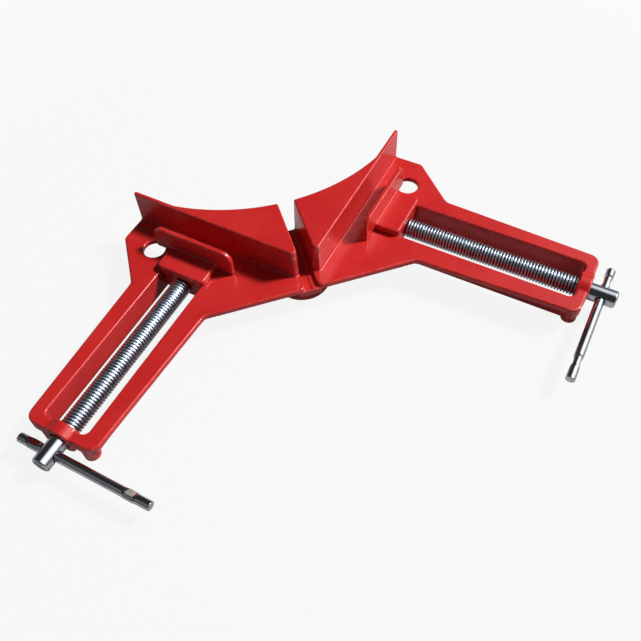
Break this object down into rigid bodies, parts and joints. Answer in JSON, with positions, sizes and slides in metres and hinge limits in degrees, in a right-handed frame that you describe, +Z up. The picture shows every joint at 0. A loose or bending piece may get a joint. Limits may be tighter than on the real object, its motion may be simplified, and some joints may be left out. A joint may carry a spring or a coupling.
{
  "type": "corner clamp",
  "caption": "Right-angle corner clamp: a cast frame with two fences and slotted arms, where screw spindles with sliding tommy bars press jaws against the fences.",
  "frame": {"origin": "centre of the underside of the round foot below the corner, on the plane the clamp stands on", "axes": "+X is out along the right arm, square to the right fence; -Y is out along the left arm, square to the left fence; +Z is up. The fence faces are the planes X = 10 mm and Y = -10 mm, so the corner they hold is at (10, -10)."},
  "size_m": [0.1916, 0.1916, 0.0276],
  "materials": {
    "casting_enamel": "glossy red enamel on a die casting",
    "jaw_enamel": "glossy red enamel on a die casting",
    "plated_spindle": "bright plated steel with a rolled thread",
    "bright_bar": "bright plated steel rod",
    "plated_washer": "plain zinc plated",
    "spring_steel": "dark spring steel"
  },
  "bodies": {
    "casting": {"frame": "casting_enamel"},
    "jaw_body_right": {"jaw_right": "jaw_enamel"},
    "jaw_body_left": {"jaw_left": "jaw_enamel"},
    "screw_right": {"spindle_right": "plated_spindle", "thrust_washer_right": "plated_washer", "retaining_ring_right": "spring_steel"},
    "screw_left": {"spindle_left": "plated_spindle", "thrust_washer_left": "plated_washer", "retaining_ring_left": "spring_steel"},
    "bar_body_right": {"tommy_bar_right": "bright_bar"},
    "bar_body_left": {"tommy_bar_left": "bright_bar"}
  },
  "joints": [
    {"name": "jaw_slide_right", "type": "slide", "parent": "casting", "child": "jaw_body_right", "axis": [1, 0, 0], "range_m": [0, 0.07]},
    {"name": "spindle_turn_right", "type": "hinge", "parent": "jaw_body_right", "child": "screw_right", "pos_m": [0.07, 0.0383, 0.0088], "axis": [1, 0, 0], "range_deg": [0, 20160.1]},
    {"name": "bar_slide_right", "type": "slide", "parent": "screw_right", "child": "bar_body_right", "axis": [0, 1, 0], "range_m": [0, 0.0276]},
    {"name": "jaw_slide_left", "type": "slide", "parent": "casting", "child": "jaw_body_left", "axis": [0, -1, 0], "range_m": [0, 0.07]},
    {"name": "spindle_turn_left", "type": "hinge", "parent": "jaw_body_left", "child": "screw_left", "pos_m": [-0.0383, -0.07, 0.0088], "axis": [0, -1, 0], "range_deg": [0, 20160.1]},
    {"name": "bar_slide_left", "type": "slide", "parent": "screw_left", "child": "bar_body_left", "axis": [-1, 0, 0], "range_m": [0, 0.0276]}
  ],
  "couplings": [
    {"joint": "spindle_turn_right", "follows": "jaw_slide_right", "rad_per_m": 5026.5},
    {"joint": "spindle_turn_left", "follows": "jaw_slide_left", "rad_per_m": 5026.5}
  ]
}
